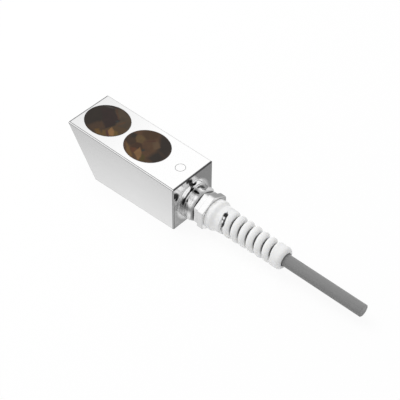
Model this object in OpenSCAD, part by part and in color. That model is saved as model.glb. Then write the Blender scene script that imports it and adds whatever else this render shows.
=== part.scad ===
// Doppler flow sensor: a machined steel head with two slanted transducers under amber windows,
// and a cable that leaves one end through a gland with a moulded spiral bend protector.
// X runs along the head towards the cable, Z points out of the sensing face. Millimetres.

/* [Head] */
// Length of the head over its bevelled ends
head_len = 77.4; // [68:0.2:84]
// Width of the head
head_w = 30; // [29:0.5:36]
// Height of the head at its slanted end
head_h = 31; // [30.5:0.5:36]
// Angle at which the far end is cut back under the sensing face
end_slant = 31.3; // [26:0.1:31.8]
// Angle at which the underside rises towards the cable
base_slope = 2.25; // [0:0.05:3]
// Bevel along the edges of the sensing face and of the gland's end
edge_bevel = 0.45; // [0.3:0.05:1.2]

/* [Transducers] */
// Angle between a bore and the sensing face's normal
beam_tilt = 29.8; // [26:0.1:30]
// Steel left on the sensing face between the slanted end's edge and the first window
end_land = 1.6; // [1.4:0.1:4]
// Steel left on the sensing face between the two windows
window_land = 2.5; // [2:0.1:6]
// Length of the sensing face left beside the second window, for the plug and the port
free_len = 19.1; // [18.6:0.1:24]
// Depth of a window plug along its axis
window_depth = 10; // [9.6:0.1:11]
// Wall of the ring that centres a crystal in its bore
centring_t = 3.5; // [2.5:0.1:6]
// Thickness of a crystal
crystal_t = 1.5; // [0.8:0.1:2]
// Thickness of the damping block behind a crystal
backing_t = 3; // [2:0.1:3.4]
// Room for the lead behind the damping block
lead_room = 2; // [1.8:0.1:2.2]
// Length of the ring that centres a crystal in its bore
centring_len = 4; // [2:0.1:4.2]
// Thickness of a window's sealing ring
window_seal_t = 1.5; // [1:0.1:1.7]
// Distance from the sensing face to the sealing ring, along the bore's axis
window_seal_in = 8.3; // [8.2:0.05:8.5]

/* [Leads and filling] */
// Distance from the sensing face down to the gland's axis
port_drop = 17; // [16.6:0.1:17.4]
// Diameter of the port that the gland screws into
port_d = 16; // [15.6:0.1:16.4]
// Depth of the port, lead chamber included
port_depth = 11.8; // [11.2:0.1:12.2]
// Distance from the sensing face down to the lead channel
channel_drop = 19; // [18.8:0.1:19.2]
// Diameter of the lead channel
channel_d = 4; // [3.9:0.1:4.4]
// Diameter of a lead
lead_d = 1.2; // [0.8:0.1:1.3]
// Distance between the two leads
lead_pitch = 1.6; // [1.5:0.1:1.7]
// Diameter of the flush plug over the filling hole
plug_d = 5.4; // [4:0.1:7]
// Length of that plug
plug_len = 4; // [2:0.5:5]
// Distance from the plug to the end face
plug_in = 8.9; // [8:0.1:9.5]
// Diameter of the filling hole
fill_d = 2.2; // [1.6:0.1:2.2]

/* [Gland] */
// Diameter of the gland's collar
collar_d = 20.6; // [19.5:0.1:22]
// Thickness of the collar
collar_t = 2.4; // [2:0.1:3]
// Length of the gland's thread in the port
spigot_len = 7.6; // [6:0.1:7.8]
// Width of the gland body's hexagon across its flats
body_hex_af = 18; // [17.5:0.1:19.5]
// Length of the gland body's hexagon
body_hex_len = 5.2; // [4:0.1:6]
// Angle by which that hexagon stands turned from the cap nut's
body_hex_turn = 4; // [0:1:30]
// Diameter of the thread that carries the cap nut
nut_thread_d = 13.2; // [12.8:0.1:13.8]
// Length of that thread
nut_thread_len = 4.4; // [3.6:0.1:4.6]
// Gap between the gland body and the cap nut
nut_gap = 0.4; // [0.1:0.1:1]
// Width of the cap nut's narrow hexagon across its flats
nut_back_af = 16.2; // [15.6:0.1:17.5]
// Length of the narrow hexagon
nut_back_len = 3.2; // [3:0.1:4.5]
// Width of the cap nut's wide hexagon across its flats
nut_hex_af = 18.3; // [17.8:0.1:20]
// Length of the wide hexagon
nut_hex_len = 3.7; // [3:0.1:5]
// Diameter of the nut's nose, under the bend protector
nose_d = 12.8; // [12.4:0.1:13.2]
// Length of the nut's nose
nose_len = 10; // [9:0.1:10.4]

/* [Bend protector] */
// Diameter of the rim around the protector's base
guard_rim_d = 17.2; // [16:0.1:18]
// Length of the protector's base, its shoulder included
guard_base_len = 5.7; // [5:0.1:6.8]
// Diameter of the spiral where it starts
guard_start_d = 14.7; // [14.5:0.1:15.6]
// Diameter of the spiral at its end ring
guard_end_d = 12.8; // [12:0.1:14]
// Distance from the cap nut to the start of the spiral
guard_sleeve_len = 9; // [8.4:0.1:9.6]
// Length of the spiral part
guard_spiral_len = 33.3; // [20:0.1:44]
// Distance between two turns of the spiral
guard_pitch = 5.12; // [4.6:0.02:6]
// Width of the open slit between two turns
guard_slit = 1; // [0.6:0.1:1.6]
// How far the edges of a turn are rounded down
guard_round = 1.5; // [0.5:0.1:1.8]
// Length of the end ring
guard_ring_len = 6.1; // [4:0.1:9]
// Width of the window where the slit starts
guard_window_w = 2.4; // [1.6:0.1:2.6]
// Length of that window around the protector
guard_window_len = 7.6; // [6:0.2:8.4]

/* [Cable] */
// Diameter of the cable
cable_d = 6.8; // [6:0.1:7]
// Length of cable outside the end face
cable_out = 111.7; // [106:0.1:400]

/* [Hidden] */
$fn = 96;

// Clearances: a plug or screw in its bore, a sealing ring in its groove, and an overlap that cuts use
fit = 0.1;
seal_fit = 0.05;
eps = 0.5;

// Head: its end faces, and the slanted end's corners before the bevels
end_x = head_len / 2;
tip_x = -end_x - edge_bevel * sin(end_slant);
low_corner_x = tip_x + head_h * tan(end_slant);
base_end_z = (end_x - low_corner_x) * tan(base_slope);
far = 3 * head_len;

// Transducers: a window's length on the sensing face, and depths down the slanted bore's axis
oval_len = (end_x - tip_x - end_land - window_land - free_len) / 2;
bore_d = oval_len * cos(beam_tilt);
window_x = [tip_x + end_land + oval_len / 2, tip_x + end_land + window_land + 1.5 * oval_len];
crystal_in = window_depth + crystal_t;
backing_in = crystal_in + backing_t;
bore_in = backing_in + lead_room;
window_d = bore_d - 2 * fit;
crystal_gap = 0.15;
crystal_d = window_d - 2 * (centring_t + crystal_gap);
seal_ring_r = bore_d / 2 - seal_fit - window_seal_t / 2;
seal_groove_r = seal_ring_r - window_seal_t / 2 - seal_fit;
seal_groove_w = window_seal_t + 0.4;
plug_above = bore_d;

// Gland axis and the places along it
axis_z = head_h - port_drop;
channel_z = head_h - channel_drop;
port_end_x = end_x - port_depth;
spigot_x = end_x - spigot_len;
collar_x = end_x + collar_t;
body_hex_x = collar_x + body_hex_len;
nut_x = body_hex_x + nut_gap;
nut_hex_x = nut_x + nut_back_len;
nut_face_x = nut_hex_x + nut_hex_len;
nose_x = nut_face_x + nose_len;
thread_x = body_hex_x + nut_thread_len;
lead_y = lead_pitch / 2;
cable_start_x = spigot_x - 0.2;
plug_x = end_x - plug_in;
plug_bore_d = plug_d + 2 * fit;
plug_z = head_h - plug_len;

// Gland: wall thicknesses, the collar's sealing groove, its mid line and the hexagons' bevels
hex_corner = 1 / cos(30);
cable_bore_d = cable_d + 0.6;
gland_bore_d = cable_d + 2.4;
insert_d = cable_d + 2.8;
cage_d = insert_d + 2;
cage_gap = 0.1;
insert_seat_x = collar_x + 2;
insert_end_x = thread_x + 0.8;
cage_end_x = thread_x + 2;
cage_nose = 0.9;
claw_slot_w = 0.8;
claw_slots = 8;
claw_root_x = insert_seat_x + 2.5;
seal_land = (collar_d - port_d) / 2;
port_seal_t = seal_land / 2;
port_seal_d = port_d + 0.8 * seal_land;
collar_line = 0.2;
collar_line_x = end_x + collar_t / 2;
collar_edge = 0.3;
nut_bore_d = nut_thread_d + 2 * fit;
nut_cone_x = thread_x + 0.4;
nut_cone_end_x = nut_cone_x + (nut_bore_d - cable_bore_d) / 2 / tan(40);
nose_edge = 0.5;

// Bend protector: its places along the axis, wall and slit. Angles are read around the gland's axis
// from seam_angle, which is measured from +Y towards +Z.
guard_x = nut_face_x + fit;
guard_base_x = nut_face_x + guard_base_len;
guard_spiral_x = nut_face_x + guard_sleeve_len;
guard_ring_x = guard_spiral_x + guard_spiral_len;
guard_end_x = guard_ring_x + guard_ring_len;
guard_bore_d = nose_d + 2 * fit;
guard_cavity_x = nose_x + fit;
guard_rim_len = 1;
guard_rim_rise = 0.25;
guard_shoulder_len = 2.3;
guard_end_round = 2.5;
guard_mouth = 0.6;
seam_angle = 36;
slit_angle = 60;
slit_end_angle = slit_angle + 360 * guard_spiral_len / guard_pitch;
turn_w = guard_pitch - guard_slit;
turn_facets = 20;
turn_in = 0.06;
turn_t = 2.4;
turn_inner_r = cable_bore_d / 2 + 0.1;
turn_lap = 0.2;
bead_points = 8;
window_angle = 91;
window_x_off = 1.2;
window_slant = 15;

// Cable and leads: the route's own points, and the sides of a tube
cable_sides = 12;
lead_sides = 8;
cable_steps = [8, 24, 40, 56, 72, 88, 104];
cable_route = concat([[cable_start_x, 0, axis_z]],
                     [for (s = cable_steps) [end_x + s, 0, axis_z]],
                     [[end_x + cable_out, 0, axis_z]]);

// Places its children at a window's middle, with Z out of the bore
module beam(x) {
    translate([x, 0, head_h]) rotate([0, -beam_tilt, 0]) children();
}

// Puts a lathe profile drawn as [radius, x] on the gland's axis
module on_axis() {
    translate([0, 0, axis_z]) rotate([0, 90, 0]) children();
}

module turned(profile) {
    on_axis() rotate_extrude() polygon(profile);
}

// A hexagonal bar between two places on the gland's axis, turned from corner up
module hex_bar(af, x0, x1, turn = 0) {
    on_axis() translate([0, 0, x0]) rotate([0, 0, -turn]) cylinder(d = af * hex_corner, h = x1 - x0, $fn = 6);
}

// A polygon whose first two corners are cut off at the given distance
function cut_upper_corners(pts, cut) = concat([
    for (i = [0, 1], side = [-1, 1])
        let (n = len(pts), p = pts[i], q = pts[(i + side + n) % n]) p + (q - p) * cut / norm(q - p)
], [for (i = [2 : len(pts) - 1]) pts[i]]);

// Everything on the inner side of one face of the head, which lies at local x = 0, with its two
// long edges bevelled
module bevelled_face() {
    half = head_w / 2;
    linear_extrude(height = far, center = true)
        polygon([[0, half - edge_bevel], [edge_bevel, half], [far, half], [far, -half],
                 [edge_bevel, -half], [0, -half + edge_bevel]]);
}

module head_block() {
    side = [[tip_x, head_h], [end_x, head_h], [end_x, base_end_z], [low_corner_x, 0]];
    intersection() {
        rotate([90, 0, 0]) linear_extrude(height = head_w, center = true)
            polygon(cut_upper_corners(side, edge_bevel));
        translate([end_x, 0, 0]) rotate([0, 180, 0]) bevelled_face();
        translate([0, 0, head_h]) rotate([0, 90, 0]) bevelled_face();
    }
}

module housing() {
    color("gainsboro") difference() {
        head_block();
        for (x = window_x)
            beam(x) translate([0, 0, -bore_in]) cylinder(d = bore_d, h = bore_in + plug_above);
        on_axis() translate([0, 0, port_end_x]) cylinder(d = port_d, h = port_depth + eps);
        translate([channel_end_x(), 0, channel_z]) rotate([0, 90, 0])
            cylinder(d = channel_d, h = port_end_x + eps - channel_end_x());
        translate([plug_x, 0, axis_z]) cylinder(d = fill_d, h = port_drop);
        translate([plug_x, 0, plug_z]) cylinder(d = plug_bore_d, h = plug_len + eps);
    }
}

// Where the lead channel ends: in the bottom corner of the first bore
function channel_end_x() = backing_point(0, crystal_d / 2)[0] - 1;

// A point on the back of a damping block, at the given distance from the block's middle towards the
// underside
function backing_point(i, r) = [
    window_x[i] + backing_in * sin(beam_tilt) - r * cos(beam_tilt),
    head_h - backing_in * cos(beam_tilt) - r * sin(beam_tilt)
];

module window_plug(i) {
    color([0.35, 0.2, 0.07, 0.85]) intersection() {
        beam(window_x[i]) difference() {
            translate([0, 0, -window_depth]) cylinder(d = window_d, h = window_depth + plug_above);
            rotate_extrude() translate([seal_groove_r, -window_seal_in - seal_groove_w / 2])
                square([bore_d, seal_groove_w]);
        }
        translate([-far / 2, -far / 2, head_h - far]) cube(far);
    }
}

module window_seal(i) {
    color([0.1, 0.1, 0.1]) beam(window_x[i]) translate([0, 0, -window_seal_in])
        rotate_extrude() translate([seal_ring_r, 0]) circle(d = window_seal_t, $fn = 32);
}

module crystal(i) {
    color("wheat") beam(window_x[i]) translate([0, 0, -crystal_in]) cylinder(d = crystal_d, h = crystal_t);
}

module backing(i) {
    color("dimgray") beam(window_x[i]) translate([0, 0, -backing_in]) cylinder(d = crystal_d, h = backing_t);
}

module centring_ring(i) {
    color("ivory") beam(window_x[i]) translate([0, 0, -window_depth - centring_len]) difference() {
        cylinder(d = window_d, h = centring_len);
        translate([0, 0, -eps]) cylinder(d = crystal_d + 2 * crystal_gap, h = centring_len + 2 * eps);
    }
}

// A tube swept along a route's points, each ring square to the way there
module tube(route, d, sides) {
    n = len(route);
    function way(i) = let (v = route[min(i + 1, n - 1)] - route[max(i - 1, 0)]) v / norm(v);
    rings = [
        for (i = [0 : n - 1], k = [0 : sides - 1])
            let (side = cross([0, 1, 0], way(i)), a = 360 * k / sides)
            route[i] + d / 2 * (cos(a) * [0, 1, 0] + sin(a) * side / norm(side))
    ];
    walls = [
        for (i = [0 : n - 2], k = [0 : sides - 1])
            let (a = i * sides + k, b = i * sides + (k + 1) % sides) [a, a + sides, b + sides, b]
    ];
    polyhedron(rings, concat(walls, [[for (k = [0 : sides - 1]) k],
                                     [for (k = [sides - 1 : -1 : 0]) (n - 1) * sides + k]]));
}

// A lead runs from the cable through the filling and the channel, and ends on the damping block
function lead_route(i, y) = let (end = backing_point(i, crystal_d / 2 - lead_d)) [
    [cable_start_x, y, channel_z],
    [port_end_x, y, channel_z],
    [end[0] + 5, y, channel_z],
    [end[0] + 3, y, channel_z + 0.3],
    [end[0] + 0.9, y, end[1] - 2.3],
    [end[0] + 0.5 * sin(beam_tilt), y, end[1] - 0.5 * cos(beam_tilt)],
    [end[0] + 0.02, y, end[1] - 0.03]
];

module lead(i, y, colour) {
    color(colour) tube(lead_route(i, y), lead_d, lead_sides);
}

module potting() {
    thickness = cable_start_x - port_end_x;
    color([0.15, 0.15, 0.17]) difference() {
        union() {
            on_axis() translate([0, 0, port_end_x]) cylinder(d = port_d - 2 * fit, h = thickness);
            translate([plug_x, 0, axis_z]) cylinder(d = fill_d - 2 * fit, h = plug_z - axis_z);
        }
        for (y = [-lead_y, lead_y])
            translate([port_end_x - eps, y, channel_z]) rotate([0, 90, 0])
                cylinder(d = lead_d + 2 * fit, h = thickness + 2 * eps);
    }
}

module fill_plug() {
    color("silver") translate([plug_x, 0, plug_z]) cylinder(d = plug_d, h = plug_len);
}

module port_seal() {
    color([0.1, 0.1, 0.1]) on_axis() translate([0, 0, end_x + port_seal_t / 2 + seal_fit])
        rotate_extrude() translate([port_seal_d / 2, 0]) circle(d = port_seal_t, $fn = 32);
}

// The gland body: spigot, collar with its mid line, hexagon bevelled at both ends, and nut thread
module gland_body() {
    collar_r = collar_d / 2;
    hex_r = body_hex_af / 2;
    over = hex_r * (hex_corner - 1);
    bevel_len = over / tan(40);
    color("silver") difference() {
        union() {
            turned([[0, spigot_x], [port_d / 2 - fit - collar_edge, spigot_x],
                    [port_d / 2 - fit, spigot_x + collar_edge], [port_d / 2 - fit, end_x],
                    [collar_r - collar_edge, end_x], [collar_r, end_x + collar_edge],
                    [collar_r, collar_line_x - collar_line], [collar_r - collar_line, collar_line_x],
                    [collar_r, collar_line_x + collar_line], [collar_r, collar_x - collar_edge],
                    [collar_r - collar_edge, collar_x], [0, collar_x]]);
            intersection() {
                hex_bar(body_hex_af, collar_x - eps, body_hex_x, body_hex_turn);
                turned([[0, collar_x - eps], [hex_r, collar_x - eps], [hex_r, collar_x],
                        [hex_r + over, collar_x + bevel_len], [hex_r + over, body_hex_x - bevel_len],
                        [hex_r, body_hex_x], [0, body_hex_x]]);
            }
            turned([[0, body_hex_x - eps], [nut_thread_d / 2, body_hex_x - eps],
                    [nut_thread_d / 2, thread_x - collar_edge], [nut_thread_d / 2 - collar_edge, thread_x],
                    [0, thread_x]]);
        }
        turned([[0, spigot_x - eps], [gland_bore_d / 2, spigot_x - eps], [gland_bore_d / 2, insert_seat_x],
                [cage_d / 2 + cage_gap, insert_seat_x], [cage_d / 2 + cage_gap, thread_x + eps],
                [0, thread_x + eps]]);
        turned([[port_seal_d / 2 - port_seal_t / 2 - seal_fit, end_x - eps],
                [port_seal_d / 2 + port_seal_t / 2 + seal_fit, end_x - eps],
                [port_seal_d / 2 + port_seal_t / 2 + seal_fit, end_x + port_seal_t + 2 * seal_fit],
                [port_seal_d / 2 - port_seal_t / 2 - seal_fit, end_x + port_seal_t + 2 * seal_fit]]);
    }
}

module sealing_insert() {
    r = cable_d / 2 + cage_gap;
    color([0.12, 0.12, 0.12]) turned([[r, insert_seat_x], [insert_d / 2, insert_seat_x],
                                      [insert_d / 2, insert_end_x], [r, insert_end_x]]);
}

// The clamping cage: a ring whose front is slotted into claws that the cap nut's cone presses in
module clamping_cage() {
    r = insert_d / 2 + cage_gap;
    color("ivory") difference() {
        turned([[r, insert_seat_x], [cage_d / 2, insert_seat_x], [cage_d / 2, cage_end_x - cage_nose],
                [r + 0.1, cage_end_x], [r, cage_end_x]]);
        for (k = [0 : claw_slots - 1])
            on_axis() rotate([0, 0, 360 * k / claw_slots]) translate([0, -claw_slot_w / 2, claw_root_x])
                cube([cage_d, claw_slot_w, cage_end_x]);
    }
}

// The cap nut: narrow and wide hexagon, with a nose that the bend protector is pushed over
module cap_nut() {
    back_r = nut_back_af / 2 * hex_corner;
    color("silver") difference() {
        union() {
            hex_bar(nut_back_af, nut_x, nut_hex_x + eps);
            intersection() {
                hex_bar(nut_hex_af, nut_hex_x, nut_face_x);
                turned([[0, nut_hex_x], [nut_hex_af / 2 * hex_corner, nut_hex_x],
                        [nut_hex_af / 2 * hex_corner, nut_face_x - collar_edge],
                        [nut_hex_af / 2 * hex_corner - collar_edge, nut_face_x], [0, nut_face_x]]);
            }
            turned([[0, nut_face_x - eps], [nose_d / 2, nut_face_x - eps], [nose_d / 2, nose_x - nose_edge],
                    [nose_d / 2 - nose_edge, nose_x], [0, nose_x]]);
        }
        turned([[0, nut_x - eps], [nut_bore_d / 2, nut_x - eps], [nut_bore_d / 2, nut_cone_x],
                [cable_bore_d / 2, nut_cone_end_x], [cable_bore_d / 2, nose_x + eps], [0, nose_x + eps]]);
    }
}

// The spiral: one turn's section at a winding angle, as [x, radius] points from its left foot over
// the back to its right foot. An edge is rounded only where the slit runs beside it.
function turn_x(a) = guard_spiral_x - turn_w / 2 + guard_pitch * (a - slit_angle) / 360;
function taper_r(x) = (guard_start_d + (guard_end_d - guard_start_d)
                       * (x - guard_spiral_x) / guard_spiral_len) / 2 - turn_in;
function edge_share(a, x) =
    let (t = x - turn_x(a))
    (t < 0 && a < slit_angle + 360) || (t > 0 && a > slit_end_angle) ? 0 : min(1, abs(2 * t / turn_w));
function back_r(a, x) = taper_r(x) - guard_round * (1 - sqrt(1 - pow(edge_share(a, x), 2)));
function foot_r(x) = max(turn_inner_r, taper_r(x) - turn_t);
function turn_section(a) =
    let (left = a < slit_angle + 360 ? guard_spiral_x : turn_x(a) - turn_w / 2,
         x0 = max(left, guard_spiral_x - turn_lap) - (a < slit_angle + 360 ? turn_lap : 0),
         x1 = min(turn_x(a) + turn_w / 2, guard_ring_x + turn_lap))
    concat([[x0, foot_r(x0)]],
           [for (j = [0 : bead_points]) let (x = x0 + (x1 - x0) * (1 - cos(180 * j / bead_points)) / 2)
               [x, back_r(a, x)]],
           [[x1, foot_r(x1)]]);

module spiral() {
    first = slit_angle + 20;
    last = slit_end_angle + 360 * turn_w / guard_pitch - 20;
    steps = ceil((last - first) * turn_facets / 360);
    m = bead_points + 3;
    pts = [
        for (i = [0 : steps])
            let (a = first + (last - first) * i / steps, w = a + seam_angle)
            for (p = turn_section(a)) [p[0], p[1] * cos(w), axis_z + p[1] * sin(w)]
    ];
    walls = [
        for (i = [0 : steps - 1], k = [0 : m - 1])
            let (a = i * m + k, b = i * m + (k + 1) % m)
            for (f = [[a, b, b + m], [a, b + m, a + m]]) f
    ];
    polyhedron(pts, concat(walls, [[for (k = [m - 1 : -1 : 0]) k], [for (k = [0 : m - 1]) steps * m + k]]));
}

module bend_protector() {
    rim_r = guard_rim_d / 2;
    neck_r = rim_r - guard_rim_rise;
    start_r = guard_start_d / 2;
    end_r = guard_end_d / 2;
    shoulder_x = guard_base_x - guard_shoulder_len;
    rim_x = shoulder_x - guard_rim_len;
    drop = rim_r - start_r;
    color("white") difference() {
        union() {
            turned([[0, guard_x], [neck_r, guard_x], [neck_r, rim_x - 2 * guard_rim_rise], [rim_r, rim_x],
                    [rim_r, shoulder_x], [rim_r - 0.3 * drop, shoulder_x + 0.4 * guard_shoulder_len],
                    [start_r + 0.12 * drop, shoulder_x + 0.8 * guard_shoulder_len],
                    [start_r, guard_base_x], [start_r, guard_spiral_x], [0, guard_spiral_x]]);
            spiral();
            on_axis() rotate_extrude() {
                translate([0, guard_ring_x]) square([end_r, guard_ring_len - guard_end_round]);
                translate([0, guard_ring_x]) square([end_r - guard_end_round, guard_ring_len]);
                intersection() {
                    translate([end_r - guard_end_round, guard_end_x - guard_end_round])
                        circle(r = guard_end_round, $fn = 48);
                    square(far);
                }
            }
        }
        turned([[0, guard_x - eps], [guard_bore_d / 2, guard_x - eps], [guard_bore_d / 2, guard_cavity_x],
                [cable_bore_d / 2, guard_cavity_x], [cable_bore_d / 2, guard_end_x - guard_mouth],
                [cable_bore_d / 2 + guard_mouth, guard_end_x],
                [cable_bore_d / 2 + guard_mouth, guard_end_x + eps], [0, guard_end_x + eps]]);
        guard_window();
    }
}

// The window where the slit starts: a slanted slot with round ends, straight through the wall
module guard_window() {
    side = guard_window_len - guard_window_w;
    translate([guard_spiral_x + window_x_off, 0, axis_z]) rotate([window_angle + seam_angle - 90, 0, 0])
        translate([0, 0, cable_d / 2 + 0.6]) linear_extrude(height = guard_rim_d / 2)
            rotate([0, 0, window_slant]) {
                square([guard_window_w, side], center = true);
                for (y = [-side / 2, side / 2])
                    translate([0, y]) circle(d = guard_window_w);
            }
}

module cable() {
    color("gray") tube(cable_route, cable_d, cable_sides);
}

housing();
window_plug(0);  // transmit_window
window_plug(1);  // receive_window
window_seal(0);  // transmit_window_seal
window_seal(1);  // receive_window_seal
crystal(0);  // transmit_crystal
crystal(1);  // receive_crystal
backing(0);  // transmit_backing
backing(1);  // receive_backing
centring_ring(0);  // transmit_centring_ring
centring_ring(1);  // receive_centring_ring
lead(0, -lead_y, "firebrick");  // transmit_lead
lead(1, lead_y, "royalblue");  // receive_lead
potting();
fill_plug();
port_seal();
gland_body();
sealing_insert();
clamping_cage();
cap_nut();
bend_protector();
cable();
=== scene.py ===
import math

import bmesh
import bpy
from mathutils import Matrix, Vector


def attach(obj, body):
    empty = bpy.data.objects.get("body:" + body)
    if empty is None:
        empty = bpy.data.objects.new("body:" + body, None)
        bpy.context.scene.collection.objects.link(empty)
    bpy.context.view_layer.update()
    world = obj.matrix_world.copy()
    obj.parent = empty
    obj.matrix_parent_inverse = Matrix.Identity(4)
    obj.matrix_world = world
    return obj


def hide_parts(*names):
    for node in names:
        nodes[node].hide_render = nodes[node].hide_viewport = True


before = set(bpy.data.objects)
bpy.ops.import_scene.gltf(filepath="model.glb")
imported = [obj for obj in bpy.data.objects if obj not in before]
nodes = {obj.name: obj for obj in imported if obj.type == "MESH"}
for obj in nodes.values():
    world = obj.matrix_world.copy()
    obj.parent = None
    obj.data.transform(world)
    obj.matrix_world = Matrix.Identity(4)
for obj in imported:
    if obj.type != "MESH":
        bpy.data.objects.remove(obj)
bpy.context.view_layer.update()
scene = bpy.context.scene
MM = 0.001

# The head in millimetres: sensing face, end face, side faces from the middle, bevel and lowest edge of the underside
TOP_Z = 31.0
END_X = 38.7
SIDE_Y = 15
BEVEL = 0.45
LOW_X = -20.086
# Degrees by which the underside rises towards the cable
SLOPE = 2.25

# The gland in millimetres: its axis, and along it the ends of the collar and of the body's hexagon, the nut's back
# and its face
AXIS_Z = 14.0
COLLAR_X = 41.1
BODY_X = 46.3
NUT_X = 46.7
FACE_X = 53.6


def add_object(name, data):
    obj = bpy.data.objects.new(name, data)
    scene.collection.objects.link(obj)
    return obj


def add_camera():
    """The photo's camera, fitted to the head's edges and the windows' outlines."""
    cam = add_object("camera", bpy.data.cameras.new("camera"))
    cam.location = (0.34692, -0.33709, 0.47919)
    cam.rotation_euler = [math.radians(a) for a in (44.4257, -0.3752, 42.3619)]
    cam.data.sensor_width = 36
    cam.data.lens = 111.87
    cam.data.clip_start = 0.01
    cam.data.clip_end = 20
    scene.camera = cam


# Meshes. An edge is sharp where its faces meet at more than this many degrees

SHARP_ANGLE = 32
GUARD_SHARP_ANGLE = 34


def mesh_from(name, points, faces):
    mesh = bpy.data.meshes.new(name)
    mesh.from_pydata(points, [], faces)
    mesh.update()
    return mesh


def smooth(mesh):
    bm = bmesh.new()
    bm.from_mesh(mesh)
    bmesh.ops.remove_doubles(bm, verts=bm.verts, dist=1e-7)
    bmesh.ops.recalc_face_normals(bm, faces=bm.faces)
    bm.to_mesh(mesh)
    bm.free()
    mesh.shade_smooth()
    mesh.set_sharp_from_angle(angle=math.radians(SHARP_ANGLE))


def polar(x, r, angle):
    """A point in metres from its place along the gland's axis, its distance from it and its angle around it."""
    return x * MM, r * math.cos(angle) * MM, (AXIS_Z + r * math.sin(angle)) * MM


def swept(sections, size):
    """The faces of a solid whose closed sections follow each other, with both ends capped."""
    faces = [(i * size + k, i * size + (k + 1) % size, (i + 1) * size + (k + 1) % size, (i + 1) * size + k)
             for i in range(sections - 1) for k in range(size)]
    return faces + [tuple(range(size)), tuple((sections - 1) * size + k for k in range(size))]


# Cable: a straight tube with softened ends, from inside the gland to its bare end

CABLE_STEPS = [30.9, 38.7, 46.7, 54.7, 62.7, 70.7, 78.7, 86.7, 94.7, 102.7, 110.7, 118.7, 126.7, 134.7, 142.7, 150.4]
CABLE_R = 3.4
CABLE_EDGE = 0.15
CABLE_SIDES = 48
CAP_R = 0.4


def add_cable():
    first, last = CABLE_STEPS[0], CABLE_STEPS[-1]
    steps = [(first, CAP_R), (first, CABLE_R - CABLE_EDGE), (first + CABLE_EDGE, CABLE_R)]
    steps += [(x, CABLE_R) for x in CABLE_STEPS[1:-1]]
    steps += [(last - CABLE_EDGE, CABLE_R), (last, CABLE_R - CABLE_EDGE), (last, CAP_R)]
    points = [polar(x, r, 2 * math.pi * k / CABLE_SIDES) for x, r in steps for k in range(CABLE_SIDES)]
    mesh = mesh_from("cable_jacket", points, swept(len(steps), CABLE_SIDES))
    smooth(mesh)
    obj = add_object("cable_jacket", mesh)
    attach(obj, "root")
    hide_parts("cable")
    return obj


# Bend protector: a sleeve, a spiral with rounded turns and an end ring, with a slot through the wall where the slit
# between the turns starts. The spiral's angles count in degrees from a seam, SEAM degrees around from +Y

SEAM = 36
SPIRAL_X = FACE_X + 9.0
SPIRAL_LEN = 33.3
RING_X = SPIRAL_X + SPIRAL_LEN
GUARD_END_X = RING_X + 6.1
# Outer radius at either end of the spiral, and the bores around the cable and around the nut's nose
START_R = 7.35
END_R = 6.4
BORE_R = 3.7
NOSE_R = 6.5
# Distance between two turns, a turn's width and thickness, and how far its back falls at the edges
PITCH = 5.12
TURN_W = 4.12
TURN_T = 2.4
ROUND = 1.5
# Angles at which the slit starts and ends, degrees over which the first turn leaves the sleeve, and how far the turns
# run into the sleeve and the ring
SLIT_ANGLE = 60
LAST_ANGLE = SLIT_ANGLE + 360 * SPIRAL_LEN / PITCH
LEAVE = 8
OVERLAP = 0.2
# The slot: its middle around and along the axis, its size, and the slant of its long side
SLOT_ANGLE = 91
SLOT_X = SPIRAL_X + 1.2
SLOT_W, SLOT_LEN = 2.4, 7.6
SLOT_SLANT = 15


def lathe(profile, n=120):
    """A closed ring around the gland's axis from [x, radius] points."""
    m = len(profile)
    points = [polar(x, r, 2 * math.pi * k / n) for k in range(n) for x, r in profile]
    faces = [(k * m + j, k * m + (j + 1) % m, (k + 1) % n * m + (j + 1) % m, (k + 1) % n * m + j)
             for k in range(n) for j in range(m)]
    return points, faces


def arc(x, r, radius, start, end, n):
    angles = [math.radians(start + (end - start) * i / n) for i in range(n + 1)]
    return [(x + radius * math.cos(a), r + radius * math.sin(a)) for a in angles]


def ease(t):
    return t * t * (3 - 2 * t)


def turn_x(a):
    """The middle of the turn at an angle."""
    return SPIRAL_X - TURN_W / 2 + PITCH * (a - SLIT_ANGLE) / 360


def taper_r(x):
    """The outer radius, a trace under the sleeve's and the ring's where they meet."""
    return START_R + (END_R - START_R) * (x - SPIRAL_X) / SPIRAL_LEN - 0.02


def foot_r(x):
    """A turn's inner radius, clear of the ring's bore."""
    return max(BORE_R + 0.1, taper_r(x) - TURN_T)


def back_r(a, x):
    """A turn's outer radius, which falls towards its edges but not where it runs out of the sleeve or into the ring."""
    t = x - turn_x(a)
    flat = (t < 0 and a < SLIT_ANGLE + 360) or (t > 0 and a > LAST_ANGLE)
    share = 0 if flat else min(1, abs(2 * t / TURN_W))
    return taper_r(x) - ROUND * (1 - math.sqrt(1 - share * share))


def spiral(per_turn=90, across=22):
    """The turns, as sections from the sleeve to the ring."""
    first = SLIT_ANGLE + LEAVE
    last = LAST_ANGLE + 360 * TURN_W / PITCH - LEAVE
    steps = math.ceil((last - first) * per_turn / 360)
    points = []
    for i in range(steps + 1):
        a = first + (last - first) * i / steps
        free = min(1, max(0, (a - SLIT_ANGLE - 360 + LEAVE) / LEAVE))
        x0 = max(turn_x(a) - TURN_W / 2, SPIRAL_X) * free + SPIRAL_X * (1 - free)
        x0 -= OVERLAP * (a < SLIT_ANGLE + 360)
        x1 = min(turn_x(a) + TURN_W / 2, RING_X + OVERLAP)
        xs = [x0 + (x1 - x0) * (1 - math.cos(math.pi * j / across)) / 2 for j in range(across + 1)]
        section = [(x0, foot_r(x0))] + [(x, back_r(a, x)) for x in xs] + [(x1, foot_r(x1))]
        points += [polar(x, r, math.radians(a + SEAM)) for x, r in section]
    return points, swept(steps + 1, across + 3)


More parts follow.
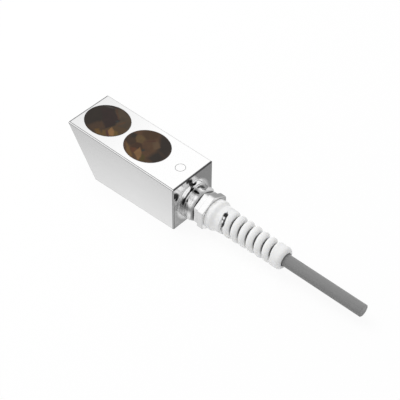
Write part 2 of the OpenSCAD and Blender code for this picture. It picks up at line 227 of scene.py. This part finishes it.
def slot_cutter():
    """A slot with round ends, straight through the wall."""
    end_r, side, n = SLOT_W / 2, (SLOT_LEN - SLOT_W) / 2, 16
    angles = [math.pi * i / n for i in range(n + 1)]
    edge = [(end_r * math.cos(a), side + end_r * math.sin(a)) for a in angles]
    edge += [(-x, -y) for x, y in edge]
    place = (Matrix.Translation((SLOT_X, 0, AXIS_Z))
             @ Matrix.Rotation(math.radians(SLOT_ANGLE + SEAM - 90), 4, "X")
             @ Matrix.Rotation(math.radians(SLOT_SLANT), 4, "Z"))
    inner, outer = 4, 12
    points = [tuple(place @ Vector((x, y, z)) * MM) for z in (inner, outer) for x, y in edge]
    return points, swept(2, len(edge))


def cut(points, faces, cutters):
    body = add_object("cut_body", mesh_from("cut_body", points, faces))
    smooth(body.data)
    tools = []
    for cutter in cutters:
        tool = add_object("cut_tool", mesh_from("cut_tool", *cutter))
        smooth(tool.data)
        mod = body.modifiers.new("cut", "BOOLEAN")
        mod.operation, mod.solver, mod.object = "DIFFERENCE", "EXACT", tool
        tools.append(tool)
    bpy.context.view_layer.update()
    result = bpy.data.meshes.new_from_object(body.evaluated_get(bpy.context.evaluated_depsgraph_get()))
    for obj in [body] + tools:
        bpy.data.objects.remove(obj)
    return result


def sleeve():
    """A plain neck that widens to a rim, with a shoulder down to the spiral."""
    neck_r, rim_r = 8.35, 8.6
    back, rim_x, shoulder_x = FACE_X + 0.1, FACE_X + 2.4, FACE_X + 3.1
    edge, widening, shoulder = 0.15, 0.6, 2.9
    profile = [(back, NOSE_R), (back, neck_r - edge), (back + edge, neck_r)]
    profile += [(rim_x - widening * (1 - t), neck_r + (rim_r - neck_r) * ease(t)) for t in (0, 0.25, 0.5, 0.75)]
    profile += [(rim_x, rim_r), (shoulder_x, rim_r)]
    profile += [(shoulder_x + shoulder * t, rim_r + (START_R - rim_r) * ease(t))
                for t in (0.1, 0.25, 0.4, 0.55, 0.7, 0.85, 1)]
    return lathe(profile + [(SPIRAL_X, START_R), (SPIRAL_X, NOSE_R)])


def end_ring():
    """A ring whose outer corner is round and whose bore opens a little at the end."""
    corner = 2.5
    profile = [(RING_X, BORE_R), (RING_X, END_R)]
    profile += arc(GUARD_END_X - corner, END_R - corner, corner, 90, 10, 12)
    profile += [(GUARD_END_X - back, BORE_R + out) for back, out in ((0.06, 0.5), (0.3, 0.12), (0.7, 0))]
    return lathe(profile)


def nose_room():
    """What the nut's nose takes from the first turns, a trace longer than the nose."""
    end_x, middle_r = FACE_X + 10.1, 0.01
    return lathe([(FACE_X, middle_r), (FACE_X, NOSE_R), (end_x, NOSE_R), (end_x, middle_r)], 90)


def add_protector():
    bm = bmesh.new()
    for mesh in (cut(*sleeve(), [slot_cutter()]), cut(*spiral(), [nose_room(), slot_cutter()]),
                 mesh_from("ring", *end_ring())):
        smooth(mesh)
        bm.from_mesh(mesh)
        bpy.data.meshes.remove(mesh)
    mesh = bpy.data.meshes.new("protector")
    bm.to_mesh(mesh)
    bm.free()
    mesh.shade_smooth()
    mesh.set_sharp_from_angle(angle=math.radians(GUARD_SHARP_ANGLE))
    obj = add_object("protector", mesh)
    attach(obj, "root")
    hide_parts("bend_protector")
    return obj


# Material nodes

def grey(v):
    return (v, v, v)


def new_material(name, **values):
    """A material, and values for its shader's inputs, with an underscore for a space in their names."""
    mat = bpy.data.materials.new(name)
    mat.use_nodes = True
    shader = mat.node_tree.nodes["Principled BSDF"]
    for key, value in values.items():
        shader.inputs[key.replace("_", " ")].default_value = value
    return mat, mat.node_tree, shader


def drive(tree, shader, **sockets):
    """Links sockets to a shader's inputs, with an underscore for a space in their names."""
    for key, socket in sockets.items():
        tree.links.new(socket, shader.inputs[key.replace("_", " ")])


def add(tree, kind, *inputs, **settings):
    """A node whose inputs, in order, are sockets to link, values to set, or None."""
    node = tree.nodes.new(kind)
    for key, value in settings.items():
        setattr(node, key, value)
    for socket, value in zip(node.inputs, inputs):
        if isinstance(value, bpy.types.NodeSocket):
            tree.links.new(value, socket)
        elif value is not None:
            socket.default_value = value
    return node


def math_node(tree, op, a, b=None, c=None):
    return add(tree, "ShaderNodeMath", a, b, c, operation=op).outputs[0]


def chain(tree, op, first, *others):
    """One operation over several values."""
    for value in others:
        first = math_node(tree, op, first, value)
    return first


def mul_add(tree, value, factor, offset):
    return math_node(tree, "MULTIPLY_ADD", value, factor, offset)


def fade(tree, value, start, end):
    """0 at start and 1 at end."""
    return add(tree, "ShaderNodeMapRange", value, start, end, 0, 1).outputs[0]


def vary(tree, grain, low, high):
    """A noise's usual range, spread from low to high."""
    return add(tree, "ShaderNodeMapRange", grain, 0.3, 0.7, low, high).outputs[0]


def ramp(tree, fac, stops):
    node = add(tree, "ShaderNodeValToRGB", fac)
    while len(node.color_ramp.elements) < len(stops):
        node.color_ramp.elements.new(0.5)
    for el, (pos, col) in zip(node.color_ramp.elements, stops):
        el.position = pos
        el.color = (*col, 1)
    return node.outputs[0]


def mix(tree, fac, a, b):
    node = tree.nodes.new("ShaderNodeMix")
    node.data_type = "RGBA"
    for socket, value in ((node.inputs[0], fac), (node.inputs[6], a), (node.inputs[7], b)):
        if isinstance(value, bpy.types.NodeSocket):
            tree.links.new(value, socket)
        else:
            socket.default_value = value if socket is node.inputs[0] else (*value, 1)
    return node.outputs[2]


def dot(tree, vector, other):
    return add(tree, "ShaderNodeVectorMath", vector, other, operation="DOT_PRODUCT").outputs["Value"]


def scaled(tree, vector, factor):
    return add(tree, "ShaderNodeVectorMath", vector, None, None, factor, operation="SCALE").outputs[0]


def object_place(tree):
    return add(tree, "ShaderNodeTexCoord").outputs["Object"]


def true_normal(tree):
    return add(tree, "ShaderNodeNewGeometry").outputs["True Normal"]


def split(tree, vector):
    return add(tree, "ShaderNodeSeparateXYZ", vector).outputs[:3]


def noise(tree, scale, stretch=(1, 1, 1), detail=3):
    mapped = add(tree, "ShaderNodeMapping", object_place(tree), None, None, stretch).outputs[0]
    return add(tree, "ShaderNodeTexNoise", mapped, None, scale, detail).outputs[0]


def bump(tree, shader, height, strength, distance):
    node = add(tree, "ShaderNodeBump", strength, distance)
    drive(tree, node, Height=height)
    drive(tree, shader, Normal=node.outputs[0])


def edge_mask(tree, low, high):
    """1 beside a sharp edge and 0 away from it."""
    rounded = add(tree, "ShaderNodeBevel", 0.0003, samples=6).outputs[0]
    return fade(tree, dot(tree, rounded, true_normal(tree)), high, low)


def facing(tree, normal, direction):
    """1 on the faces that look in one direction and 0 on the others."""
    return math_node(tree, "GREATER_THAN", dot(tree, normal, tuple(Vector(direction).normalized())), 0.97)


def places(tree):
    """Millimetres along the gland, across it, up from its axis and out from it, and degrees around it from +Y."""
    x, y, z = split(tree, scaled(tree, object_place(tree), 1 / MM))
    up = math_node(tree, "SUBTRACT", z, AXIS_Z)
    out = math_node(tree, "SQRT", mul_add(tree, y, y, math_node(tree, "MULTIPLY", up, up)))
    turn = math_node(tree, "FRACT", math_node(tree, "DIVIDE", math_node(tree, "ARCTAN2", up, y), 2 * math.pi))
    return x, y, up, out, math_node(tree, "MULTIPLY", turn, 360)


def spot(tree, u, v, middle, size, soft=0.35):
    """1 inside an ellipse of u and v and 0 outside it, with a soft rim."""
    du = mul_add(tree, u, 1 / size[0], -middle[0] / size[0])
    dv = mul_add(tree, v, 1 / size[1], -middle[1] / size[1])
    return fade(tree, mul_add(tree, du, du, math_node(tree, "MULTIPLY", dv, dv)), 1 + soft, 1 - soft)


def spots(tree, tone, u, v, table, soft=0.35):
    """A tone with greys laid over it, each given as the middle and the size of its ellipse, and its value."""
    for middle, size, value in table:
        tone = mix(tree, spot(tree, u, v, middle, size, soft), tone, grey(value))
    return tone


def patch(tree, here, corners, soft):
    """1 inside a patch whose corners run counter-clockwise and 0 outside it, with a soft rim."""
    gaps = []
    for (u0, v0), (u1, v1) in zip(corners, corners[1:] + corners[:1]):
        length = math.hypot(u1 - u0, v1 - v0)
        nu, nv = (v0 - v1) / length, (u1 - u0) / length
        gaps.append(dot(tree, here, (nu, nv, -nu * u0 - nv * v0)))
    return fade(tree, chain(tree, "MINIMUM", *gaps), -soft, soft)


def around(tree, degrees, stops):
    """A grey that changes with the angle around the gland."""
    return ramp(tree, math_node(tree, "DIVIDE", degrees, 360), [(a / 360, grey(v)) for a, v in stops])


# Head: ground steel whose faces carry painted reflection and shade in their tones, with a polished end face

# Across and up, the way in which the painted bright strip of reflection leaves the gland on the end face
STRIP_Y, STRIP_Z = -0.587, 0.809

# Painted reflection on the end face: tones around the gland, and black spots there by millimetres out and degrees
# around
END_REFLECTED_RING = [(0, 0.5), (50, 0.72), (66, 0.75), (76, 0.5), (84, 0.25), (94, 0.2), (102, 0.6), (110, 0.98),
            (132, 0.98), (142, 0.55), (152, 0.6), (165, 0.85), (240, 0.85), (360, 0.5)]
END_REFLECTED_SPOTS = [((10.5, 82), (1.0, 8), 0.06), ((11.6, 95), (1.0, 5), 0.05), ((13.2, 98), (3.0, 6), 0.01),
             ((16.0, 104), (1.6, 5), 0.01), ((17.8, 138.5), (3.4, 6), 0.01), ((15.3, 144), (1.2, 5), 0.01)]


def end_reflections(tree, base):
    """The end face's tone with painted reflections, a ring around the gland, a bright strip, black spots and a grey
    patch below the gland, a mask of where it stays a full mirror, and a mask of the strip."""
    _, across, up, out, a = places(tree)
    aside = math_node(tree, "ABSOLUTE", mul_add(tree, across, STRIP_Z, math_node(tree, "MULTIPLY", up, -STRIP_Y)))
    ahead = mul_add(tree, across, STRIP_Y, math_node(tree, "MULTIPLY", up, STRIP_Z))
    strip = chain(tree, "MULTIPLY", fade(tree, aside, 10.8, 9.4), fade(tree, ahead, -0.5, 0.5), fade(tree, a, 160, 140))
    tone = mix(tree, spot(tree, out, a, (14.5, 195), (3.5, 60), 0.8), base, grey(0.45))
    tone = mix(tree, fade(tree, out, 12.8, 11.2), tone, around(tree, a, END_REFLECTED_RING))
    tone = spots(tree, mix(tree, strip, tone, grey(0.95)), out, a, END_REFLECTED_SPOTS, 0.5)
    beside = math_node(tree, "MULTIPLY", fade(tree, out, 12.5, 11.7), spot(tree, out, a, (10, 95), (6, 44), 0.2))
    mirror = math_node(tree, "MAXIMUM", beside, spot(tree, out, a, (17.2, 124.5), (3.2, 8)))
    return tone, mirror, strip


def bevel_shade_lines(tree, normal):
    """1 along the fine painted lines of shade where the head's bevels meet its faces, and fainter along the far side.
    """
    along, across, up, _, _ = places(tree)
    gaps = [math_node(tree, "SUBTRACT", END_X, math_node(tree, "ABSOLUTE", along)),
            math_node(tree, "SUBTRACT", SIDE_Y, math_node(tree, "ABSOLUTE", across)),
            math_node(tree, "SUBTRACT", TOP_Z - AXIS_Z, up)]
    nearest_two = math_node(tree, "SUBTRACT", chain(tree, "ADD", *gaps), chain(tree, "MAXIMUM", *gaps))
    flat = chain(tree, "MAXIMUM", *[math_node(tree, "ABSOLUTE", v) for v in split(tree, normal)])
    line_w = 0.35
    line = math_node(tree, "MULTIPLY", math_node(tree, "LESS_THAN", nearest_two, BEVEL + line_w),
                     math_node(tree, "GREATER_THAN", flat, 0.8))
    far_side = fade(tree, across, SIDE_Y - 1, SIDE_Y - 0.6)
    return math_node(tree, "MULTIPLY", line, mul_add(tree, far_side, -0.85, 1.0))


def steel():
    """Each face of the head has its own tone of painted reflection, with painted shade by height and along the head
    over a ground grain, and the end face is polished.
    """
    mat, tree, shader = new_material("ground_steel", Metallic=1.0, Specular_IOR_Level=0.1)
    normal = true_normal(tree)
    along, _, height = split(tree, object_place(tree))
    grain = noise(tree, 900, (0.03, 1, 1), 4)
    blotch = mul_add(tree, noise(tree, 45, (1, 1, 1), 2), 0.06, -0.03)
    # Painted shade: lighter towards the bottom and towards the gland end, with random blotches
    height_shade = fade(tree, height, TOP_Z * MM, 0)
    far = fade(tree, along, -0.038, 0.012)
    shade_and_blotch = math_node(tree, "ADD", height_shade, blotch)
    top = ramp(tree, math_node(tree, "ADD", far, blotch), [(0.0, grey(0.85)), (0.5, grey(0.93)), (0.9, grey(0.995))])
    end = ramp(tree, shade_and_blotch, [(0.0, grey(0.25)), (0.4, grey(0.28)), (1.0, grey(0.36))])
    end, mirror, strip = end_reflections(tree, end)
    sides = math_node(tree, "MULTIPLY", mul_add(tree, far, 0.5, shade_and_blotch), 0.66)
    color = ramp(tree, sides, [(0.0, grey(0.55)), (0.33, grey(0.63)), (1.0, grey(0.79))])
    # Painted reflection tones of the sensing face, the end face, and the bevels over it, at its near and far side and
    # along the sensing face
    for direction, tone in (((0, 0, 1), top), ((1, 0, 0), end), ((1, 0, 1), grey(0.07)), ((1, -1, 0), grey(0.4)),
                            ((1, 1, 0), grey(0.82)), ((0, -1, 1), grey(0.9)), ((0, 1, 1), grey(0.9))):
        color = mix(tree, facing(tree, normal, direction), color, tone)
    # Painted dark lines of shade where the bevels meet the faces
    color = mix(tree, math_node(tree, "MULTIPLY", bevel_shade_lines(tree, normal), 0.75), color, grey(0.03))
    # Painted shade, darker beside sharp edges
    dark = math_node(tree, "MULTIPLY", edge_mask(tree, 0.94, 0.998), 0.7)
    end_face = facing(tree, normal, (1, 0, 0))
    rough = math_node(tree, "MULTIPLY", vary(tree, grain, 0.16, 0.26), mul_add(tree, end_face, -0.8, 1.0))
    matt = chain(tree, "MULTIPLY", end_face, math_node(tree, "SUBTRACT", 1.0, mirror), mul_add(tree, strip, 0.3, 0.6))
    drive(tree, shader, Base_Color=mix(tree, dark, color, grey(0.03)), Roughness=rough,
          Metallic=math_node(tree, "SUBTRACT", 1.0, matt))
    bump(tree, shader, grain, 0.04, 0.00002)
    return mat


# Gland: nickel plating with painted reflections, as tones by degrees around it and spots by millimetres along it and
# degrees around

COLLAR_REFLECTIONS = [(0, 0.3), (45, 0.3), (54, 0.95), (66, 1.0), (88, 1.0), (97, 0.6), (102, 1.0), (130, 1.0), (137, 0.85),
                (143, 0.45), (151, 0.15), (157, 0.16), (164, 0.25), (171, 0.36), (178, 0.52), (188, 0.68), (200, 0.54),
                (240, 0.5), (290, 0.45), (360, 0.3)]
COLLAR_REFLECTED_SPOTS = [((38.8, 87), (0.75, 8), 0.02), ((40.3, 125), (0.55, 22), 0.12), ((40.3, 105), (0.8, 9), 0.005),
                ((40.1, 147), (0.85, 12), 0.008)]
HEXAGON_REFLECTIONS = [(0, 0.4), (45, 0.65), (60, 0.66), (78, 0.6), (87, 1.0), (93, 0.5), (108, 0.34), (113, 0.85),
                 (118, 1.0), (125, 0.95), (129, 0.68), (136, 0.95), (146, 0.97), (150, 0.75), (157, 0.37), (164, 0.24),
                 (171, 0.38), (178, 0.66), (188, 0.85), (200, 0.7), (260, 0.6), (320, 0.45), (360, 0.4)]
HEXAGON_REFLECTED_SPOTS = [((42.6, 101), (2.2, 4.5), 0.005), ((41.3, 69), (1.9, 16), 0.03), ((41.2, 141), (0.9, 5), 0.2)]
HEXAGON_RIM_REFLECTIONS = [(0, 0.4), (80, 0.55), (92, 0.38), (145, 0.4), (152, 0.28), (360, 0.3)]
NUT_BACK_REFLECTIONS = [(0, 0.45), (45, 0.55), (60, 0.9), (80, 0.98), (147, 0.98), (150, 0.7), (200, 0.85), (360, 0.45)]
NUT_REFLECTIONS = [(0, 0.26), (75, 0.26), (84, 0.34), (88, 0.6), (92, 0.9), (97, 0.99), (147, 0.99), (150, 0.7), (210, 0.7),
             (270, 0.6), (330, 0.4), (360, 0.26)]
NUT_RIM_REFLECTIONS = [(0, 0.5), (75, 0.6), (95, 0.8), (146, 0.8), (150, 0.5), (360, 0.5)]
NUT_FACE_REFLECTIONS = [(0, 0.3), (50, 0.4), (80, 0.95), (215, 0.9), (260, 0.4), (360, 0.3)]
NOSE_REFLECTIONS = [(0, 0.5), (95, 0.4), (100, 0.05), (112, 0.02), (116, 0.3), (118, 0.98), (127, 0.98), (129, 0.2),
              (132, 0.2), (134, 0.95), (143, 0.95), (149, 0.45), (170, 0.5), (360, 0.5)]


def plating(name):
    mat, tree, shader = new_material(name, Metallic=0.75, Specular_IOR_Level=0.15)
    drive(tree, shader, Roughness=vary(tree, noise(tree, 300), 0.05, 0.1))
    return mat, tree, shader


def edged(tree, shader, color):
    """Gives a shader its colour, with painted shade a little darker beside sharp edges."""
    dark = math_node(tree, "MULTIPLY", edge_mask(tree, 0.93, 0.997), 0.35)
    drive(tree, shader, Base_Color=mix(tree, dark, color, grey(0.08)))


def collar_nickel():
    """The gland body: painted reflections, bright and black sweeps around the collar and one tone after another on the
    hexagon.
    """
    mat, tree, shader = plating("body_nickel")
    x, _, _, _, a = places(tree)
    collar = spots(tree, around(tree, a, COLLAR_REFLECTIONS), x, a, COLLAR_REFLECTED_SPOTS)
    hexagon = spots(tree, around(tree, a, HEXAGON_REFLECTIONS), x, a, HEXAGON_REFLECTED_SPOTS)
    hexagon = mix(tree, fade(tree, x, BODY_X - 1.5, BODY_X - 0.5), hexagon, around(tree, a, HEXAGON_RIM_REFLECTIONS))
    edged(tree, shader, mix(tree, fade(tree, x, COLLAR_X - 0.1, COLLAR_X + 0.1), collar, hexagon))
    # The collar is a full mirror where it is bright, and the hexagon gets more metallic towards the nut
    bright = spot(tree, x, a, (39.2, 95), (1.6, 46), 0.2)
    growing = mul_add(tree, fade(tree, x, COLLAR_X - 0.1, BODY_X - 1.8), 0.55, 0.2)
    drive(tree, shader, Metallic=math_node(tree, "MAXIMUM", growing, bright))
    return mat


def nut_nickel():
    """The nut: painted reflections, one facet white, its neighbours grey, and tones of their own on both bevels, its
    face and its nose.
    """
    mat, tree, shader = plating("nut_nickel")
    x, _, _, _, a = places(tree)
    tone = mix(tree, fade(tree, x, NUT_X + 0.9, NUT_X + 0.1), around(tree, a, NUT_REFLECTIONS),
               around(tree, a, NUT_BACK_REFLECTIONS))
    tone = mix(tree, fade(tree, x, FACE_X - 0.5, FACE_X - 0.25), tone, around(tree, a, NUT_RIM_REFLECTIONS))
    tone = mix(tree, facing(tree, true_normal(tree), (1, 0, 0)), tone, around(tree, a, NUT_FACE_REFLECTIONS))
    edged(tree, shader, mix(tree, fade(tree, x, SPIRAL_X - 2.6, SPIRAL_X - 2.2), tone, around(tree, a, NOSE_REFLECTIONS)))
    return mat


# Windows: dark amber resin, with painted reflections from inside it as facets, each a colour, the softness of its rim
# and its corners, in millimetres from the window's middle

def amber(name, middle_x, base, facets):
    mat, tree, shader = new_material(name, Roughness=0.05, IOR=1.5, Specular_IOR_Level=0.25)
    x, y, _, _, _ = places(tree)
    warp = mul_add(tree, noise(tree, 220, (1, 1, 1), 2), 0.8, -0.4)
    u = math_node(tree, "ADD", x, math_node(tree, "SUBTRACT", warp, middle_x))
    here = add(tree, "ShaderNodeCombineXYZ", u, math_node(tree, "ADD", y, warp), 1.0).outputs[0]
    tone = base
    for color, soft, corners in facets:
        tone = mix(tree, patch(tree, here, corners, soft), tone, color)
    cloud = vary(tree, noise(tree, 260, (1, 1, 1), 2), 0.85, 1.15)
    drive(tree, shader, Base_Color=scaled(tree, tone, cloud))
    return mat


def transmit_amber():
    return amber("transmit_amber", -23.73, (0.014, 0.008, 0.004), [
        ((0.044, 0.022, 0.009), 1.2, [(-6, -11), (5, -12), (3.7, -4.9), (-0.9, -2.3), (-3.5, -4)]),
        ((0.057, 0.031, 0.01), 0.5, [(3.7, -4.9), (5, -12), (14, -6), (14, 3), (6, 0.5)]),
        ((0.05, 0.032, 0.016), 0.8, [(-3.7, 9.9), (6, 0), (14, 3), (10, 10), (0, 12.5)]),
        ((0.016, 0.006, 0.004), 0.4, [(-9.9, 4.3), (-0.9, -2.3), (3.7, -4.9), (5.3, 4.4), (-5.6, 8.8)]),
        ((0.055, 0.022, 0.008), 0.5, [(-3.9, 9.9), (3.2, 4.6), (4.2, 4.6), (-2.4, 10.2)]),
        ((0.07, 0.03, 0.01), 0.4, [(5.8, 0.4), (6.6, 0.2), (8.4, 5), (7.6, 5.6)]),
        ((0.016, 0.018, 0.017), 0.5, [(3.5, 2.4), (4.9, 2.1), (5.4, 3.6), (4, 4.1)]),
        ((0.055, 0.025, 0.009), 0.5, [(-2.1, -2.6), (0.3, -6.1), (2.1, -5)]),
        ((0.1, 0.05, 0.006), 0.7, [(-0.2, -9.3), (2.6, -11.5), (5.4, -9.9), (0.9, -7.6)]),
        ((0.09, 0.046, 0.008), 0.5, [(3, -6.9), (6.2, -10.4), (8.2, -9.2), (4.6, -6)]),
        ((0.06, 0.014, 0.01), 0.4, [(4.8, -5.9), (8.4, -9.2), (9.4, -8.2), (5.7, -5.4)]),
        ((0.19, 0.095, 0.03), 0.35, [(5.4, -2.2), (5.7, -5.6), (8.8, -7.8), (11, -6.6), (9.9, -4)]),
        ((0.1, 0.058, 0.008), 0.5, [(8.3, -2.9), (10.9, -6.3), (12.2, -4.6), (10.3, -2.6)]),
        ((0.045, 0.04, 0.035), 0.4, [(-9, 7.6), (-6, 8.3), (-3.2, 9.6), (-6.6, 9.2)])])


def receive_amber():
    return amber("receive_amber", 5.99, (0.065, 0.03, 0.011), [
        ((0.016, 0.01, 0.006), 1.2, [(-1.6, 12.5), (6.6, 1.1), (14, 0), (11, 10)]),
        ((0.016, 0.01, 0.006), 1.2, [(6.6, 1.1), (6, -6.5), (12, -8), (14, 0)]),
        ((0.044, 0.02, 0.005), 0.8, [(-10, 6), (-4.5, 3.2), (-0.5, 5.4), (-1.5, 12), (-8, 10)]),
        ((0.032, 0.015, 0.005), 0.6, [(-13.5, 3), (-13, -5), (-6.5, -5.5), (-6.2, -1.4), (-11.4, 2)]),
        ((0.038, 0.015, 0.004), 0.4, [(-6.4, -6.5), (0.4, -3.8), (-3.8, -0.6), (-6.4, -1.5)]),
        ((0.085, 0.049, 0.015), 0.5, [(-11.2, 1.9), (-6.4, -1.5), (-3.7, -0.3), (-4.5, 3.5), (-8.1, 4.2)]),
        ((0.078, 0.044, 0.02), 0.5, [(-0.1, 3.8), (4.7, 0.2), (5.9, 3.8), (1.6, 6.8)]),
        ((0.055, 0.018, 0.007), 0.4, [(-3, 2.9), (-2.3, 2.3), (1, 5.6), (0.2, 6.3)]),
        ((0.014, 0.019, 0.017), 0.5, [(-0.6, -4.2), (0.6, -4.8), (1.4, -3.5), (0.1, -2.9)]),
        ((0.12, 0.062, 0.014), 0.5, [(-10.8, -5.2), (-6, -9.8), (0, -12.5), (-1.4, -9.9), (-7, -6.6)]),
        ((0.075, 0.024, 0.006), 0.3, [(-6.6, -6.7), (-2, -9), (-3.2, -4.7)]),
        ((0.16, 0.08, 0.027), 0.35, [(-2.4, -3.3), (-2, -8.2), (3.7, -10.9), (3, -7.4), (0.6, -5.2)]),
        ((0.052, 0.034, 0.004), 0.6, [(1.7, -6.4), (4.4, -10.6), (7, -9.3), (4.1, -6.2)]),
        ((0.016, 0.01, 0.005), 0.5, [(-13.6, 2.2), (-11.6, -1), (-9.4, 0.4), (-10.4, 3.4)])])


# Protector and cable

def white_plastic():
    """A little translucent, with painted shade down in the slit on one side of it."""
    mat, tree, shader = new_material("white_plastic", Roughness=0.42, IOR=1.5, Subsurface_Weight=0.1,
                                     Subsurface_Radius=(0.0015, 0.0014, 0.0012), Subsurface_Scale=1.0)
    grain = noise(tree, 700)
    along, _, _, out, a = places(tree)
    taper = add(tree, "ShaderNodeMapRange", along, SPIRAL_X, RING_X, START_R, END_R).outputs[0]
    slit_shade = chain(tree, "MULTIPLY", fade(tree, math_node(tree, "SUBTRACT", taper, out), 0.9, 2.2),
                 fade(tree, along, RING_X + 0.5, RING_X), fade(tree, a, 92, 112), fade(tree, a, 185, 150))
    skin = ramp(tree, grain, [(0.3, grey(0.86)), (0.7, grey(0.9))])
    drive(tree, shader, Base_Color=mix(tree, slit_shade, skin, grey(0.22)))
    bump(tree, shader, grain, 0.1, 0.00002)
    return mat


def cable_grey():
    mat, tree, shader = new_material("grey_jacket", IOR=1.5)
    grain = noise(tree, 1200, (0.15, 1, 1))
    # Painted shade: lighter on the upper far side and darker underneath, by the angle around the axis
    tone = around(tree, places(tree)[4], [(0, 0.235), (50, 0.27), (80, 0.235), (110, 0.22), (140, 0.215),
                                          (180, 0.195), (270, 0.18), (360, 0.235)])
    drive(tree, shader, Base_Color=scaled(tree, tone, vary(tree, grain, 0.93, 1.07)),
          Roughness=vary(tree, grain, 0.4, 0.55))
    bump(tree, shader, grain, 0.15, 0.00002)
    return mat


# What the head and the gland hold inside, and which node has which material

def plain(name, low, high, roughness, scale=400):
    """Two tones of one colour in a fine grain, with a shallow bump."""
    mat, tree, shader = new_material(name)
    grain = noise(tree, scale)
    drive(tree, shader, Base_Color=ramp(tree, grain, [(0.3, low), (0.7, high)]),
          Roughness=vary(tree, grain, roughness - 0.05, roughness + 0.05))
    bump(tree, shader, grain, 0.2, 0.00003)
    return mat


def dress():
    looks = [
        (steel(), ["housing", "fill_plug"]),
        (collar_nickel(), ["gland_body"]),
        (nut_nickel(), ["cap_nut"]),
        (transmit_amber(), ["transmit_window"]),
        (receive_amber(), ["receive_window"]),
        (plain("black_rubber", grey(0.012), grey(0.03), 0.6),
         ["transmit_window_seal", "receive_window_seal", "port_seal", "sealing_insert"]),
        (plain("silvered_ceramic", (0.5, 0.47, 0.38), (0.62, 0.58, 0.48), 0.4, 800),
         ["transmit_crystal", "receive_crystal"]),
        (plain("loaded_resin", grey(0.03), grey(0.06), 0.7, 1500), ["transmit_backing", "receive_backing"]),
        (plain("turned_plastic", (0.62, 0.58, 0.48), (0.7, 0.66, 0.56), 0.5),
         ["transmit_centring_ring", "receive_centring_ring", "clamping_cage"]),
        (plain("red_lead", (0.3, 0.015, 0.012), (0.4, 0.03, 0.02), 0.4), ["transmit_lead"]),
        (plain("blue_lead", (0.012, 0.03, 0.25), (0.02, 0.05, 0.35), 0.4), ["receive_lead"]),
        (plain("cast_filling", grey(0.02), grey(0.04), 0.35), ["potting"]),
    ]
    for mat, names in looks:
        for name in names:
            mesh = nodes[name].data
            mesh.materials.clear()
            mesh.materials.append(mat)


# Floor and light

FLOOR_HALF = 3.0
# Share of the floor that shows as pure white to the camera, in metal and through glass: the rest takes the shadow
FLOOR_WHITE = 0.92
WORLD_LIGHT = 0.6


def seen_rays(tree):
    """1 for what the camera sees, also in metal and through glass, and 0 for diffuse light."""
    rays = add(tree, "ShaderNodeLightPath").outputs
    return chain(tree, "MAXIMUM", rays["Is Camera Ray"], rays["Is Glossy Ray"], rays["Is Transmission Ray"])


def mix_shaders(tree, fac, first, second, output):
    both = add(tree, "ShaderNodeMixShader", fac, first, second).outputs[0]
    tree.links.new(both, tree.nodes[output].inputs["Surface"])


def add_floor():
    corners = [(x * FLOOR_HALF, y * FLOOR_HALF, 0) for x, y in ((-1, -1), (1, -1), (1, 1), (-1, 1))]
    floor = add_object("floor", mesh_from("floor", corners, [(0, 1, 2, 3)]))
    floor.location = (LOW_X * MM, 0, 0)
    floor.rotation_euler = (0, -math.radians(SLOPE), 0)
    mat, tree, shader = new_material("white_floor", Roughness=1.0, Specular_IOR_Level=0)
    drive(tree, shader, Base_Color=ramp(tree, noise(tree, 3), [(0.3, grey(0.93)), (0.7, grey(0.95))]))
    glow = add(tree, "ShaderNodeEmission", (1, 1, 1, 1), 1.0).outputs[0]
    share = math_node(tree, "MULTIPLY", seen_rays(tree), FLOOR_WHITE)
    mix_shaders(tree, share, shader.outputs[0], glow, "Material Output")
    floor.data.materials.append(mat)


def add_world():
    world = bpy.data.worlds.new("studio")
    scene.world = world
    world.use_nodes = True
    tree = world.node_tree
    light = tree.nodes["Background"]
    light.inputs["Color"].default_value = (1, 1, 1, 1)
    light.inputs["Strength"].default_value = WORLD_LIGHT
    white = add(tree, "ShaderNodeBackground", (1, 1, 1, 1), 1.0).outputs[0]
    mix_shaders(tree, seen_rays(tree), light.outputs[0], white, "World Output")


def add_lamp(name, place, target, size, power):
    """A round lamp that lights the object but doesn't show in metal."""
    data = bpy.data.lights.new(name, "AREA")
    data.shape, data.size, data.energy = "DISK", size, power
    lamp = add_object(name, data)
    lamp.location = place
    lamp.rotation_euler = (Vector(target) - Vector(place)).to_track_quat("-Z", "Y").to_euler()
    lamp.visible_glossy = False


add_camera()
protector = add_protector()
cable = add_cable()
dress()
protector.data.materials.append(white_plastic())
cable.data.materials.append(cable_grey())
add_floor()
add_world()
add_lamp("key", (-0.5, -0.03, 0.9), (0.05, 0, 0.01), 0.9, 6.2)

scene.view_settings.view_transform = "Standard"
